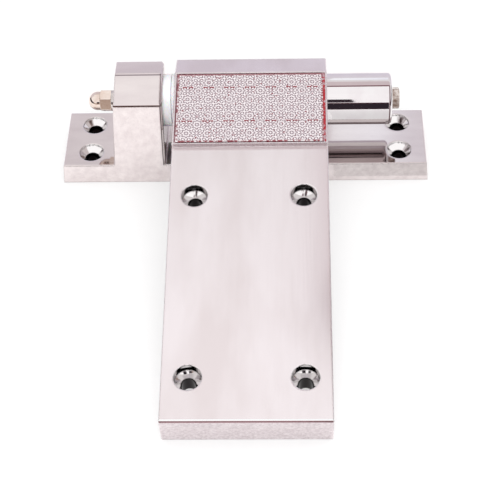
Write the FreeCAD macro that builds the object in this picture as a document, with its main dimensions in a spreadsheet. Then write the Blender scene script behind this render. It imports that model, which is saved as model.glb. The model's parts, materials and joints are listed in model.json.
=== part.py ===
import FreeCAD, Part
import math
import os
import Sketcher

# Rising hinge for a cold room door, lying with its pin level.
# Millimetres. X runs along the pin, from the cams towards the spring barrel. Y runs from the leaf to the back.
# Z is up, and z = 0 is the frame flange's mounting face, whose middle is the origin.
# The leaf is modelled in a frame of its own, on the pin axis and turned down by leaf_tilt until its end meets z = 0.

doc = FreeCAD.newDocument("cold_room_hinge")
sheet = doc.addObject("Spreadsheet::Sheet", "Sizes")

driving_sizes = {
    # frame bracket: flange and block
    "edge_bevel": 0.5,
    "flange_length": 244.0,
    "flange_width": 53.0,
    "flange_thick": 15.5,
    "flange_draft": 1.3,
    "flange_holes_long": 208.0,
    "flange_holes_wide": 27.0,
    "flange_skin": 6.0,
    "flange_rim": 6.0,
    "flange_rib": 5.0,
    "pin_back": 3.8,
    "block_width": 31.9,
    "block_draft": 2.6,
    "block_bevel": 1.5,
    "block_blend": 60.0,
    "block_top": 22.2,
    "block_top_front": 1.5,
    "block_top_back": 15.6,
    "block_top_fall": 1.4,
    "block_crease": 13.5,
    "block_crease_front": 20.8,
    # door leaf
    "leaf_tilt": 9.9,
    "leaf_centre": 5.0,
    "leaf_width": 100.0,
    "leaf_reach": 247.0,
    "leaf_thick": 22.6,
    "leaf_under": 4.4,
    "leaf_holes_wide": 68.4,
    "leaf_hole_near": 28.7,
    "leaf_hole_far": 156.4,
    "leaf_skin": 6.0,
    "leaf_rim": 6.0,
    "leaf_rib": 4.0,
    "leaf_boss": 13.0,
    "leaf_core_end": 190.0,
    # knuckle, measured from the pin axis
    "knuckle_front": 52.6,
    "knuckle_top": 21.5,
    "knuckle_top_back": 5.9,
    "knuckle_shoulder": 13.8,
    "knuckle_radius": 27.0,
    # recess in the knuckle, the red bed in it and the plate on the bed
    "recess_left": 1.4,
    "recess_right": 1.2,
    "recess_front": 0.8,
    "recess_back": 1.0,
    "recess_depth": 1.4,
    "bed_thick": 0.4,
    "plate_thick": 1.2,
    "plate_left": 1.0,
    "plate_right": 1.6,
    "plate_front": 0.8,
    "plate_back": 0.8,
    # screws that fasten the hinge
    "screw_hole": 9.0,
    "screw_sink": 16.5,
    "flange_sink_wall": 1.0,
    "leaf_sink_wall": 6.2,
    # pin and its fixings
    "pin_dia": 16.0,
    "pin_seat_depth": 20.0,
    "stud_dia": 8.0,
    "stud_past_washer": 9.0,
    "tap_depth": 28.0,
    "fit_gap": 0.05,
    "nut_flats": 13.0,
    "nut_hex": 7.6,
    "nut_height": 15.7,
    "nut_turn": 12.0,
    "bolt_turn": 30.0,
    "nut_hole_depth": 11.0,
    "nut_washer_dia": 16.0,
    "nut_washer_thick": 1.2,
    "lock_washer_dia": 14.0,
    "lock_washer_thick": 2.0,
    "lock_washer_slit": 1.5,
    "bolt_head": 5.3,
    "bolt_length": 25.0,
    "grub_dia": 6.0,
    "grub_length": 8.0,
    "grub_flats": 3.0,
    # cams
    "cam_dia": 34.8,
    "cam_collar": 5.2,
    "cam_proud": 2.4,
    "cam_depth": 18.0,
    "cam_gap": 0.3,
    "cam_ramp_gap": 0.35,
    "cam_play": 3.0,
    "cam_ring_dia": 28.0,
    "cam_ring_gap": 0.35,
    "cam_foot": 1.0,
    "cam_pitch": 24.0,
    "dowel_dia": 3.0,
    "dowel_depth": 5.0,
    "dowel_circle": 25.0,
    # bushes, spring and barrel
    "bush_dia": 20.0,
    "bush_length": 20.0,
    "bush_flange_dia": 26.0,
    "bush_flange": 2.0,
    "barrel_dia": 34.8,
    "barrel_wall": 3.0,
    "barrel_end": 4.0,
    "barrel_reach": 43.1,
    "barrel_lap": 8.0,
    "barrel_pocket": 19.0,
    "barrel_gap": 0.4,
    "barrel_round": 2.4,
    "seal_wire": 1.4,
    "seal_from_end": 4.0,
    "washer_gap": 0.5,
    "thrust_thick": 2.5,
    "seat_thick": 1.5,
    "spring_wire": 3.0,
    "spring_turns": 7.0,
}


class Size:
    # a size as a number and as the text of the expression that gives it
    def __init__(self, value, text):
        self.value = value
        self.text = text

    def __add__(self, other):
        other = as_size(other)
        return Size(self.value + other.value, f"({self.text} + {other.text})")

    def __sub__(self, other):
        other = as_size(other)
        return Size(self.value - other.value, f"({self.text} - {other.text})")

    def __mul__(self, other):
        other = as_size(other)
        return Size(self.value * other.value, f"({self.text} * {other.text})")

    def __truediv__(self, other):
        other = as_size(other)
        return Size(self.value / other.value, f"({self.text} / {other.text})")

    def __neg__(self):
        return Size(-self.value, f"(0 - {self.text})")


def as_size(value):
    return value if isinstance(value, Size) else Size(value, str(value))


def sine(angle):
    return Size(math.sin(math.radians(angle.value)), f"sin({angle.text})")


def cosine(angle):
    return Size(math.cos(math.radians(angle.value)), f"cos({angle.text})")


def near(value):
    # a place to start from, for a coordinate that the other constraints settle
    return Size(value, None)


class Sizes:
    # every driving size of the sheet, by its name
    pass


s = Sizes()
for row, (name, value) in enumerate(driving_sizes.items(), start=1):
    sheet.set(f"A{row}", name)
    sheet.set(f"B{row}", str(value))
    sheet.setAlias(f"B{row}", name)
    setattr(s, name, Size(value, f"Sizes.{name}"))
doc.recompute()


def bind(target, path, size):
    target.setExpression(path, as_size(size).text)


def new_body(label, height=None, back=None, tilt=None):
    body = doc.addObject("PartDesign::Body", label)
    body.Label = label
    if tilt is not None:
        body.Placement = FreeCAD.Placement(
            FreeCAD.Vector(0, 0, 0), FreeCAD.Rotation(FreeCAD.Vector(1, 0, 0), tilt.value))
        bind(body, "Placement.Rotation.Angle", tilt)
    if height is not None:
        bind(body, "Placement.Base.y", back)
        bind(body, "Placement.Base.z", height)
    return body


def on_pin(label):
    return new_body(label, pin_height, s.pin_back)


def on_leaf(label):
    return new_body(label, pin_height, s.pin_back, s.leaf_tilt)


def new_sketch(body, name, plane, lift=None):
    sketch = body.newObject("Sketcher::SketchObject", body.Label + "_" + name)
    for feature in body.Origin.OriginFeatures:
        if feature.Role == plane:
            sketch.AttachmentSupport = (feature, [""])
    sketch.MapMode = "FlatFace"
    if lift is not None:
        bind(sketch, "AttachmentOffset.Base.z", lift)
    return sketch


def fix(sketch, geometry, end, x, y):
    # holds one point of a line, arc or circle at x and y
    for kind, axis, size in (("DistanceX", -2, as_size(x)), ("DistanceY", -1, as_size(y))):
        if size.text is None:
            continue
        if size.text == "0":
            sketch.addConstraint(Sketcher.Constraint("PointOnObject", geometry, end, axis))
            continue
        number = sketch.addConstraint(Sketcher.Constraint(kind, -1, 1, geometry, end, size.value))
        bind(sketch, f"Constraints[{number}]", size)


def outline(sketch, corners, arcs=None, tangent=()):
    # closed run of sides through the corners; arcs gives a side's centre, and whether it runs clockwise
    # a side named in tangent runs smoothly into the next one
    arcs = arcs or {}
    points = [FreeCAD.Vector(as_size(x).value, as_size(y).value, 0) for x, y in corners]
    sides = []
    for i, start in enumerate(points):
        end = points[(i + 1) % len(points)]
        if i not in arcs:
            number = sketch.addGeometry(Part.LineSegment(start, end))
            sides.append((number, 1, 2))
            continue
        x, y, clockwise = arcs[i]
        centre = FreeCAD.Vector(as_size(x).value, as_size(y).value, 0)
        first, last = (end, start) if clockwise else (start, end)
        angles = [math.atan2(p.y - centre.y, p.x - centre.x) for p in (first, last)]
        if angles[1] <= angles[0]:
            angles[1] += 2 * math.pi
        circle = Part.Circle(centre, FreeCAD.Vector(0, 0, 1), (start - centre).Length)
        number = sketch.addGeometry(Part.ArcOfCircle(circle, angles[0], angles[1]))
        sides.append((number, 2, 1) if clockwise else (number, 1, 2))
    for i, (number, start, end) in enumerate(sides):
        after = sides[(i + 1) % len(sides)]
        kind = "Tangent" if i in tangent else "Coincident"
        sketch.addConstraint(Sketcher.Constraint(kind, number, end, after[0], after[1]))
    for i, (number, start, end) in enumerate(sides):
        if i in arcs:
            fix(sketch, number, 3, arcs[i][0], arcs[i][1])
        fix(sketch, number, start, corners[i][0], corners[i][1])


def rectangle(sketch, x0, y0, x1, y1):
    outline(sketch, [(x0, y0), (x1, y0), (x1, y1), (x0, y1)])


def circle(sketch, x, y, dia):
    centre = FreeCAD.Vector(as_size(x).value, as_size(y).value, 0)
    number = sketch.addGeometry(Part.Circle(centre, FreeCAD.Vector(0, 0, 1), as_size(dia).value / 2))
    fix(sketch, number, 3, x, y)
    held = sketch.addConstraint(Sketcher.Constraint("Diameter", number, as_size(dia).value))
    bind(sketch, f"Constraints[{held}]", dia)


def hexagon(sketch, flats, turn=0, middle=0):
    # six corners round a middle on the sketch's level axis, the first one turned up from that axis
    reach = flats / cosine(as_size(30)) / 2
    corners = []
    for i in range(6):
        angle = as_size(turn) + 60 * i
        corners.append((reach * cosine(angle) + middle, reach * sine(angle)))
    outline(sketch, corners)


def bevel_hexagon(body, face, outwards):
    # cuts a cone off the corners of a hexagon at its end face; outwards is 1 for a face towards +X, else -1
    cone = new_sketch(body, "bevel", "XZ_Plane")
    inner = s.nut_flats * 0.48
    outer = s.nut_flats * 0.66
    fall = (outer - inner) * 0.5 * outwards
    outline(cone, [(face, inner), (face + fall, outer), (face - fall, outer)])
    turned(body, "Groove", cone)


def pad(body, sketch, length, backwards=False):
    feature = body.newObject("PartDesign::Pad", sketch.Label + "_pad")
    feature.Profile = sketch
    bind(feature, "Length", length)
    feature.Reversed = backwards
    sketch.Visibility = False
    return feature


def pocket(body, sketch, depth=None, forwards=False):
    # cuts against the sketch's normal, or along it with forwards, to a depth or right through
    feature = body.newObject("PartDesign::Pocket", sketch.Label + "_pocket")
    feature.Profile = sketch
    feature.Reversed = forwards
    if depth is None:
        feature.Type = "ThroughAll"
    else:
        bind(feature, "Length", depth)
    sketch.Visibility = False
    return feature


def turned(body, kind, sketch):
    # Revolution or Groove about the pin axis
    feature = body.newObject("PartDesign::" + kind, sketch.Label + "_" + kind.lower())
    feature.Profile = sketch
    feature.ReferenceAxis = (sketch, ["H_Axis"])
    feature.Angle = 360
    sketch.Visibility = False
    return feature


def turned_piece(label, profile, arcs=None):
    body = on_pin(label)
    sketch = new_sketch(body, "profile", "XZ_Plane")
    outline(sketch, profile, arcs)
    turned(body, "Revolution", sketch)
    return body


def ring(label, x0, x1, inner_dia, outer_dia):
    inner = inner_dia / 2
    outer = outer_dia / 2
    return turned_piece(label, [(x0, inner), (x1, inner), (x1, outer), (x0, outer)])


def screw_holes(body, sketch, wall):
    # holes down through the body at the sketch's circles; a straight wall leads down to each countersink
    doc.recompute()
    feature = body.newObject("PartDesign::Hole", sketch.Label + "_holes")
    feature.Profile = sketch
    feature.ThreadType = "None"
    feature.DepthType = "ThroughAll"
    bind(feature, "Diameter", s.screw_hole)
    feature.HoleCutType = "Counterdrill"
    feature.HoleCutCustomValues = True
    bind(feature, "HoleCutDiameter", s.screw_sink)
    bind(feature, "HoleCutDepth", wall)
    feature.HoleCutCountersinkAngle = 90
    sketch.Visibility = False
    return feature


def middle_of(edge):
    return edge.valueAt((edge.FirstParameter + edge.LastParameter) / 2)


def bevel_edges(body, name, size, wanted):
    # bevels the edges of the body so far whose middle point is wanted
    doc.recompute()
    base = body.Tip
    edges = [f"Edge{i}" for i, edge in enumerate(base.Shape.Edges, start=1) if wanted(middle_of(edge))]
    feature = body.newObject("PartDesign::Chamfer", body.Label + "_" + name)
    feature.Base = (base, edges)
    bind(feature, "Size", size)
    return feature


def polar_pair(body, feature):
    # repeats a feature once more, half a turn round the pin axis
    pattern = body.newObject("PartDesign::PolarPattern", feature.Label + "_pair")
    pattern.Originals = [feature]
    for axis in body.Origin.OriginFeatures:
        if axis.Role == "X_Axis":
            pattern.Axis = (axis, [""])
    pattern.Angle = 360
    pattern.Occurrences = 2
    body.Tip = pattern
    return pattern


def cam_ramps(body, sketch):
    # cuts a helical ramp over half a turn, twice
    feature = body.newObject("PartDesign::SubtractiveHelix", sketch.Label + "_ramp")
    feature.Profile = sketch
    feature.ReferenceAxis = (sketch, ["H_Axis"])
    feature.Mode = "pitch-turns-angle"
    bind(feature, "Pitch", s.cam_pitch)
    feature.Turns = 0.5
    feature.LeftHanded = True
    body.Tip = feature
    doc.recompute()
    sketch.Visibility = False
    return polar_pair(body, feature)


def dowel_holes(body, sketch, depth, forwards):
    for side in (1, -1):
        circle(sketch, 0, s.dowel_circle / 2 * side, s.dowel_dia + s.fit_gap * 2)
    return pocket(body, sketch, depth, forwards)


# stations along the pin, and the pin's place, that follow from the driving sizes
leaf_left = s.leaf_centre - s.leaf_width / 2
leaf_right = s.leaf_centre + s.leaf_width / 2
cam_split = leaf_left - s.cam_proud
collar_right = cam_split - s.cam_gap
block_right = collar_right - s.cam_collar
block_left = block_right - s.block_width
pin_seat = block_right - s.pin_seat_depth
cam_seat = leaf_left + s.cam_depth
bush_seat = leaf_right - s.barrel_pocket
barrel_left = leaf_right - s.barrel_lap
barrel_right = leaf_right + s.barrel_reach
pin_end = barrel_right - s.barrel_end
cam_rise = s.cam_pitch / 2
leaf_top = s.leaf_thick - s.leaf_under
pin_height = s.leaf_reach * sine(s.leaf_tilt) + s.leaf_under * cosine(s.leaf_tilt)
block_height = pin_height + s.block_top
block_rise = block_height - s.flange_thick
# the nut's washers sit on a spot face cut into the block's drafted end
spot_dia = s.nut_washer_dia + 2
nut_face = block_left - s.block_draft * (s.block_top - spot_dia * 0.65) / block_rise
lock_seat = nut_face - s.nut_washer_thick
nut_seat = lock_seat - s.lock_washer_thick
stud_end = nut_seat - s.stud_past_washer
barrel_bore = s.barrel_dia - s.barrel_wall * 2
# the seal is square in section and stands half way across the gap round the barrel
seal_middle = barrel_left + s.seal_from_end
seal_dia = s.barrel_dia + s.barrel_gap
washer_dia = barrel_bore - s.washer_gap * 2
spring_dia = (barrel_bore + s.pin_dia) / 2


def make_frame_bracket():
    body = new_body("frame_bracket")
    half_length = s.flange_length / 2
    half_width = s.flange_width / 2
    bevel = s.edge_bevel
    thick = s.flange_thick

    # the block's section, drawn across the pin and padded along it; its front curves up out of the flange's front
    bottom = thick / 2
    end_draft = s.block_draft * (block_height - bottom / 2) / block_rise
    block = new_sketch(body, "block", "YZ_Plane", block_left - end_draft)
    crease = (s.pin_back - s.block_crease_front, pin_height + s.block_crease)
    blend = (s.block_blend - half_width, thick - bevel)
    across = crease[0].value - blend[0].value
    up = crease[1].value - blend[1].value
    touch = math.atan2(up, across) + math.acos(s.block_blend.value / math.hypot(across, up))
    outline(block, [
        (-half_width, bottom),
        (-half_width, thick - bevel),
        (near(blend[0].value + s.block_blend.value * math.cos(touch)),
         near(blend[1].value + s.block_blend.value * math.sin(touch))),
        crease,
        (s.pin_back + s.block_top_front, block_height),
        (s.pin_back + s.block_top_back, block_height - s.block_top_fall),
        (half_width - bevel * 2, thick),
        (half_width - bevel * 2, bottom),
    ], {1: (blend[0], blend[1], True)}, tangent=[1])
    pad(body, block, s.block_width + end_draft)

    # the outer end of the block draws in towards the top
    draft = new_sketch(body, "draft", "XZ_Plane", -half_width)
    outline(draft, [
        (block_left - end_draft, bottom / 2),
        (block_left, block_height),
        (block_left, block_height + 1),
        (block_left - end_draft * 2, block_height + 1),
        (block_left - end_draft * 2, bottom / 2),
    ])
    pocket(body, draft, None, forwards=True)
    low = bottom.value * 1.01
    cam_side = block_right.value - 0.01
    bevel_edges(body, "cam_side_bevels", s.block_bevel, lambda p: p.z > low and p.x > cam_side)
    cam_side = block_right.value - s.block_bevel.value * 1.01
    bevel_edges(body, "block_bevels", bevel, lambda p: p.z > low and p.x < cam_side)

    # the flange, bevelled along its top, with ends that draw in towards the top
    foot_length = half_length + s.flange_draft
    flange = new_sketch(body, "flange", "YZ_Plane", -foot_length - 1)
    outline(flange, [
        (-half_width, 0),
        (half_width, 0),
        (half_width, thick - bevel),
        (half_width - bevel, thick),
        (bevel - half_width, thick),
        (-half_width, thick - bevel),
    ])
    pad(body, flange, (foot_length + 1) * 2)
    ends = new_sketch(body, "ends", "XZ_Plane", -half_width)
    for side in (1, -1):
        outline(ends, [
            (foot_length * side, -1),
            (foot_length * side, 0),
            (half_length * side, thick - bevel),
            ((half_length - bevel) * side, thick),
            ((half_length - bevel) * side, thick + 1),
            ((foot_length + 2) * side, thick + 1),
            ((foot_length + 2) * side, -1),
        ])
    pocket(body, ends, None, forwards=True)

    # spot face for the nut's washer
    spot = new_sketch(body, "spot_face", "YZ_Plane", nut_face)
    circle(spot, s.pin_back, pin_height, spot_dia)
    pocket(body, spot, s.block_draft)

    # stepped bore for the pin's shoulder and its stud
    pin_bore = new_sketch(body, "pin_bore", "YZ_Plane", block_right)
    circle(pin_bore, s.pin_back, pin_height, s.pin_dia + s.fit_gap * 2)
    pocket(body, pin_bore, s.pin_seat_depth)
    stud_bore = new_sketch(body, "stud_bore", "YZ_Plane", block_right)
    circle(stud_bore, s.pin_back, pin_height, s.stud_dia + s.fit_gap * 8)
    pocket(body, stud_bore)

    dowels = new_sketch(body, "dowels", "YZ_Plane", block_right)
    for side in (1, -1):
        reach = s.dowel_circle / 2 * side
        circle(dowels, s.pin_back - reach * sine(s.leaf_tilt), pin_height + reach * cosine(s.leaf_tilt),
               s.dowel_dia + s.fit_gap * 2)
    pocket(body, dowels, s.dowel_depth)

    grub = new_sketch(body, "grub", "XZ_Plane", -s.pin_back)
    circle(grub, block_right - s.pin_seat_depth / 2, pin_height, s.grub_dia + s.fit_gap * 2)
    pocket(body, grub)

    # pockets under the flange leave a rim and ribs
    core = new_sketch(body, "core", "XY_Plane")
    first = block_right + s.flange_rim
    last = s.flange_holes_long / 2 - s.screw_sink
    cell = (last - first - s.flange_rib * 2) / 3
    for column in range(3):
        left = first + (cell + s.flange_rib) * column
        for side in (1, -1):
            rectangle(core, left, s.flange_rib / 2 * side, left + cell, (half_width - s.flange_rim) * side)
    pocket(body, core, s.flange_thick - s.flange_skin, forwards=True)

    holes = new_sketch(body, "screws", "XY_Plane", s.flange_thick)
    for x in (1, -1):
        for y in (1, -1):
            circle(holes, s.flange_holes_long / 2 * x, s.flange_holes_wide / 2 * y, s.screw_hole)
    screw_holes(body, holes, s.flange_sink_wall)
    return body


def make_door_leaf():
    body = on_leaf("door_leaf")
    half_width = s.leaf_width / 2
    radius = s.knuckle_radius
    shoulder = math.sqrt(radius.value ** 2 - s.knuckle_shoulder.value ** 2)
    heel = math.sqrt(radius.value ** 2 - s.leaf_under.value ** 2)
    profile = new_sketch(body, "profile", "YZ_Plane", leaf_left)
    outline(profile, [
        (-s.leaf_reach, -s.leaf_under),
        (-s.leaf_reach, leaf_top),
        (-s.knuckle_front, leaf_top),
        (-s.knuckle_front, s.knuckle_top),
        (s.knuckle_top_back, s.knuckle_top),
        (near(shoulder), s.knuckle_shoulder),
        (near(-heel), -s.leaf_under),
    ], {5: (0, 0, True)})
    held = profile.addConstraint(Sketcher.Constraint("Radius", 5, radius.value))
    bind(profile, f"Constraints[{held}]", radius)
    pad(body, profile, s.leaf_width)
    side = s.leaf_width.value / 2 - s.edge_bevel.value
    nose = s.edge_bevel.value - s.leaf_reach.value
    bevel_edges(body, "bevels", s.edge_bevel, lambda p: (
        abs(p.x - s.leaf_centre.value) > side or (p.y < nose and p.z > 0)))

    # stepped bore: upper cam, bushes, and the pocket that the barrel slides in
    bore = new_sketch(body, "bore", "XZ_Plane")
    cam_radius = s.cam_dia / 2 + s.fit_gap
    bush_radius = s.bush_dia / 2 + s.fit_gap
    barrel_radius = s.barrel_dia / 2 + s.barrel_gap
    outline(bore, [
        (leaf_left - 1, 0),
        (leaf_left - 1, cam_radius),
        (cam_seat, cam_radius),
        (cam_seat, bush_radius),
        (bush_seat, bush_radius),
        (bush_seat, barrel_radius),
        (leaf_right + 1, barrel_radius),
        (leaf_right + 1, 0),
    ])
    turned(body, "Groove", bore)

    dowels = new_sketch(body, "dowel_seats", "YZ_Plane", cam_seat)
    dowel_holes(body, dowels, s.dowel_depth, True)

    # recess for the patterned plate
    recess = new_sketch(body, "recess", "XY_Plane", s.knuckle_top)
    rectangle(recess, leaf_left + s.recess_left, s.recess_front - s.knuckle_front,
              leaf_right - s.recess_right, s.knuckle_top_back - s.recess_back)
    pocket(body, recess, s.recess_depth)

    # pockets under the strap leave a rim, ribs and solid bosses round the screws
    core = new_sketch(body, "core", "XY_Plane", -s.leaf_under)
    end = -s.leaf_reach
    cell = (half_width - s.leaf_rim - s.leaf_rib * 1.5) / 2
    middle = (s.leaf_hole_near + s.leaf_hole_far) / 2
    for side in (1, -1):
        near_rib = s.leaf_centre + s.leaf_rib / 2 * side
        far_rib = s.leaf_centre + (s.leaf_rib * 1.5 + cell) * side
        inner = (near_rib, near_rib + cell * side, s.leaf_rim, s.leaf_core_end)
        outer = (far_rib, far_rib + cell * side, s.leaf_hole_near + s.leaf_boss, s.leaf_hole_far - s.leaf_boss)
        for x0, x1, start, finish in (inner, outer):
            rectangle(core, x0, end + start, x1, end + middle - s.leaf_rib / 2)
            rectangle(core, x0, end + middle + s.leaf_rib / 2, x1, end + finish)
    pocket(body, core, s.leaf_thick - s.leaf_skin, forwards=True)

    holes = new_sketch(body, "screws", "XY_Plane", leaf_top)
    for x in (1, -1):
        for along in (s.leaf_hole_near, s.leaf_hole_far):
            circle(holes, s.leaf_centre + s.leaf_holes_wide / 2 * x, along - s.leaf_reach, s.screw_hole)
    screw_holes(body, holes, s.leaf_sink_wall)
    return body


def make_plate_bed():
    body = on_leaf("plate_bed")
    sketch = new_sketch(body, "outline", "XY_Plane", s.knuckle_top - s.recess_depth)
    rectangle(sketch, leaf_left + s.recess_left, s.recess_front - s.knuckle_front,
              leaf_right - s.recess_right, s.knuckle_top_back - s.recess_back)
    pad(body, sketch, s.bed_thick)
    return body


def make_pattern_plate():
    # smaller than its bed, which shows as a red line all round
    body = on_leaf("pattern_plate")
    sketch = new_sketch(body, "outline", "XY_Plane", s.knuckle_top - s.recess_depth + s.bed_thick)
    rectangle(sketch, leaf_left + s.recess_left + s.plate_left, s.recess_front + s.plate_front - s.knuckle_front,
              leaf_right - s.recess_right - s.plate_right, s.knuckle_top_back - s.recess_back - s.plate_back)
    pad(body, sketch, s.plate_thick)
    return body


def make_lower_cam():
    body = on_leaf("lower_cam")
    inner = s.pin_dia / 2 + s.fit_gap
    ring_radius = s.cam_ring_dia / 2
    blank = new_sketch(body, "blank", "XZ_Plane")
    ring_top = collar_right + s.cam_foot + cam_rise
    outline(blank, [
        (block_right, inner),
        (ring_top, inner),
        (ring_top, ring_radius),
        (collar_right, ring_radius),
        (collar_right, s.cam_dia / 2),
        (block_right, s.cam_dia / 2),
    ])
    turned(body, "Revolution", blank)
    ramp = new_sketch(body, "ramp", "XZ_Plane")
    low = collar_right + s.cam_foot
    rectangle(ramp, low, inner / 2, low + cam_rise * 1.5, ring_radius + 1)
    cam_ramps(body, ramp)
    dowels = new_sketch(body, "dowel_seats", "YZ_Plane", block_right)
    dowel_holes(body, dowels, s.dowel_depth, True)
    return body


def make_upper_cam():
    body = on_leaf("upper_cam")
    inner = s.pin_dia / 2 + s.cam_ring_gap
    blank = new_sketch(body, "blank", "XZ_Plane")
    outline(blank, [(cam_split, inner), (cam_seat, inner), (cam_seat, s.cam_dia / 2), (cam_split, s.cam_dia / 2)])
    turned(body, "Revolution", blank)
    # the same ramp as the lower cam's, set off by the running gap and turned by the play at the stop
    ramp = new_sketch(body, "ramp", "XZ_Plane")
    ramp.AttachmentOffset = FreeCAD.Placement(
        FreeCAD.Vector(0, 0, 0), FreeCAD.Rotation(FreeCAD.Vector(1, 0, 0), -s.cam_play.value))
    bind(ramp, "AttachmentOffset.Rotation.Angle", -s.cam_play)
    low = collar_right + s.cam_foot + s.cam_ramp_gap + s.cam_pitch * s.cam_play / 360
    rectangle(ramp, low - cam_rise * 1.5, inner / 2, low, s.cam_ring_dia / 2 + s.cam_ring_gap)
    cam_ramps(body, ramp)
    dowels = new_sketch(body, "dowel_seats", "YZ_Plane", cam_seat)
    dowel_holes(body, dowels, s.dowel_depth, False)
    return body


def make_dowels(label, face):
    # two dowels, each half in one piece and half in the other
    body = on_leaf(label)
    body.AllowCompound = True
    sketch = new_sketch(body, "section", "YZ_Plane", face - s.dowel_depth + s.cam_gap)
    for side in (1, -1):
        circle(sketch, 0, s.dowel_circle / 2 * side, s.dowel_dia)
    pad(body, sketch, (s.dowel_depth - s.cam_gap) * 2)
    return body


def make_pivot_pin():
    stud = s.stud_dia / 2
    pin = s.pin_dia / 2
    bevel = s.stud_dia / 8
    tap = stud + s.fit_gap
    tap_end = pin_end - s.tap_depth
    return turned_piece("pivot_pin", [
        (stud_end, 0),
        (stud_end, stud - bevel),
        (stud_end + bevel, stud),
        (pin_seat, stud),
        (pin_seat, pin),
        (pin_end, pin),
        (pin_end, tap),
        (tap_end, tap),
        (tap_end, 0),
    ])


def make_acorn_nut():
    body = on_pin("acorn_nut")
    hexagon_sketch = new_sketch(body, "hexagon", "YZ_Plane", nut_seat)
    hexagon(hexagon_sketch, s.nut_flats, s.nut_turn)
    pad(body, hexagon_sketch, s.nut_hex, backwards=True)
    hex_end = nut_seat - s.nut_hex
    bevel_hexagon(body, hex_end, -1)
    dome = new_sketch(body, "dome", "XZ_Plane")
    dome_radius = s.nut_flats * 0.48
    dome_start = nut_seat - s.nut_height + dome_radius
    outline(dome, [
        (hex_end, 0),
        (hex_end, dome_radius),
        (dome_start, dome_radius),
        (near(dome_start.value - dome_radius.value), 0),
    ], {2: (dome_start, 0, False)})
    turned(body, "Revolution", dome)
    thread = new_sketch(body, "thread", "XZ_Plane")
    hole_end = nut_seat - s.nut_hole_depth
    hole_radius = s.stud_dia / 2 + s.fit_gap
    outline(thread, [(nut_seat + 1, 0), (nut_seat + 1, hole_radius), (hole_end, hole_radius), (hole_end, 0)])
    turned(body, "Groove", thread)
    return body


def make_end_bolt():
    body = on_pin("end_bolt")
    head = new_sketch(body, "head", "YZ_Plane", barrel_right)
    hexagon(head, s.nut_flats, s.bolt_turn)
    pad(body, head, s.bolt_head)
    bevel_hexagon(body, barrel_right + s.bolt_head, 1)
    shank = new_sketch(body, "shank", "XZ_Plane")
    radius = s.stud_dia / 2
    bevel = s.stud_dia / 8
    tip = barrel_right - s.bolt_length
    outline(shank, [
        (tip, 0),
        (tip, radius - bevel),
        (tip + bevel, radius),
        (barrel_right + 1, radius),
        (barrel_right + 1, 0),
    ])
    turned(body, "Revolution", shank)
    return body


def make_grub_screw():
    body = new_body("pin_grub_screw", pin_height, s.pin_back)
    tip = s.pin_dia / 2 + s.fit_gap
    shank = new_sketch(body, "shank", "XZ_Plane", -tip)
    middle = block_right - s.pin_seat_depth / 2
    circle(shank, middle, 0, s.grub_dia)
    pad(body, shank, s.grub_length, backwards=True)
    socket = new_sketch(body, "socket", "XZ_Plane", -(tip + s.grub_length))
    hexagon(socket, s.grub_flats, middle=middle)
    pocket(body, socket, s.grub_length / 2, forwards=True)
    return body


def make_lock_washer():
    body = ring("lock_washer", nut_seat, lock_seat, s.stud_dia + s.fit_gap * 8, s.lock_washer_dia)
    slit = new_sketch(body, "slit", "YZ_Plane", nut_seat)
    rectangle(slit, -s.lock_washer_slit / 2, -s.lock_washer_dia, s.lock_washer_slit / 2, 0)
    pocket(body, slit, None, forwards=True)
    return body


def make_spring_barrel():
    outer = s.barrel_dia / 2
    inner = outer - s.barrel_wall
    hole = s.stud_dia / 2 + s.fit_gap * 4
    groove_left = seal_middle - s.seal_wire * 0.65
    groove_right = seal_middle + s.seal_wire * 0.65
    groove_floor = seal_dia / 2 - s.seal_wire - s.fit_gap
    turn = barrel_right - s.barrel_round
    return turned_piece("spring_barrel", [
        (barrel_left, inner),
        (barrel_left, outer),
        (groove_left, outer),
        (groove_left, groove_floor),
        (groove_right, groove_floor),
        (groove_right, outer),
        (turn, outer),
        (near(barrel_right.value), outer - s.barrel_round),
        (barrel_right, hole),
        (pin_end, hole),
        (pin_end, inner),
    ], {6: (turn, outer - s.barrel_round, True)})


def make_upper_bush():
    inner = s.pin_dia / 2 + s.fit_gap
    outer = s.bush_dia / 2
    flange = s.bush_flange_dia / 2
    start = bush_seat - s.bush_length
    return turned_piece("upper_bush", [
        (start, inner),
        (bush_seat + s.bush_flange, inner),
        (bush_seat + s.bush_flange, flange),
        (bush_seat, flange),
        (bush_seat, outer),
        (start, outer),
    ])


def make_return_spring():
    body = on_pin("return_spring")
    sketch = new_sketch(body, "wire", "XZ_Plane")
    inner = (spring_dia - s.spring_wire) / 2
    rectangle(sketch, spring_start, inner, spring_start + s.spring_wire, inner + s.spring_wire)
    feature = body.newObject("PartDesign::AdditiveHelix", "return_spring_coil")
    feature.Profile = sketch
    feature.ReferenceAxis = (sketch, ["H_Axis"])
    feature.Mode = "height-turns-angle"
    bind(feature, "Height", spring_finish - spring_start - s.spring_wire)
    bind(feature, "Turns", s.spring_turns)
    body.Tip = feature
    sketch.Visibility = False
    return body


thrust_start = bush_seat + s.bush_flange + s.fit_gap
spring_start = thrust_start + s.thrust_thick + s.fit_gap
seat_start = pin_end - s.seat_thick
spring_finish = seat_start - s.fit_gap
loose_bore = s.pin_dia + s.cam_ring_gap * 2
bush_bore = s.pin_dia + s.fit_gap * 2

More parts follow.
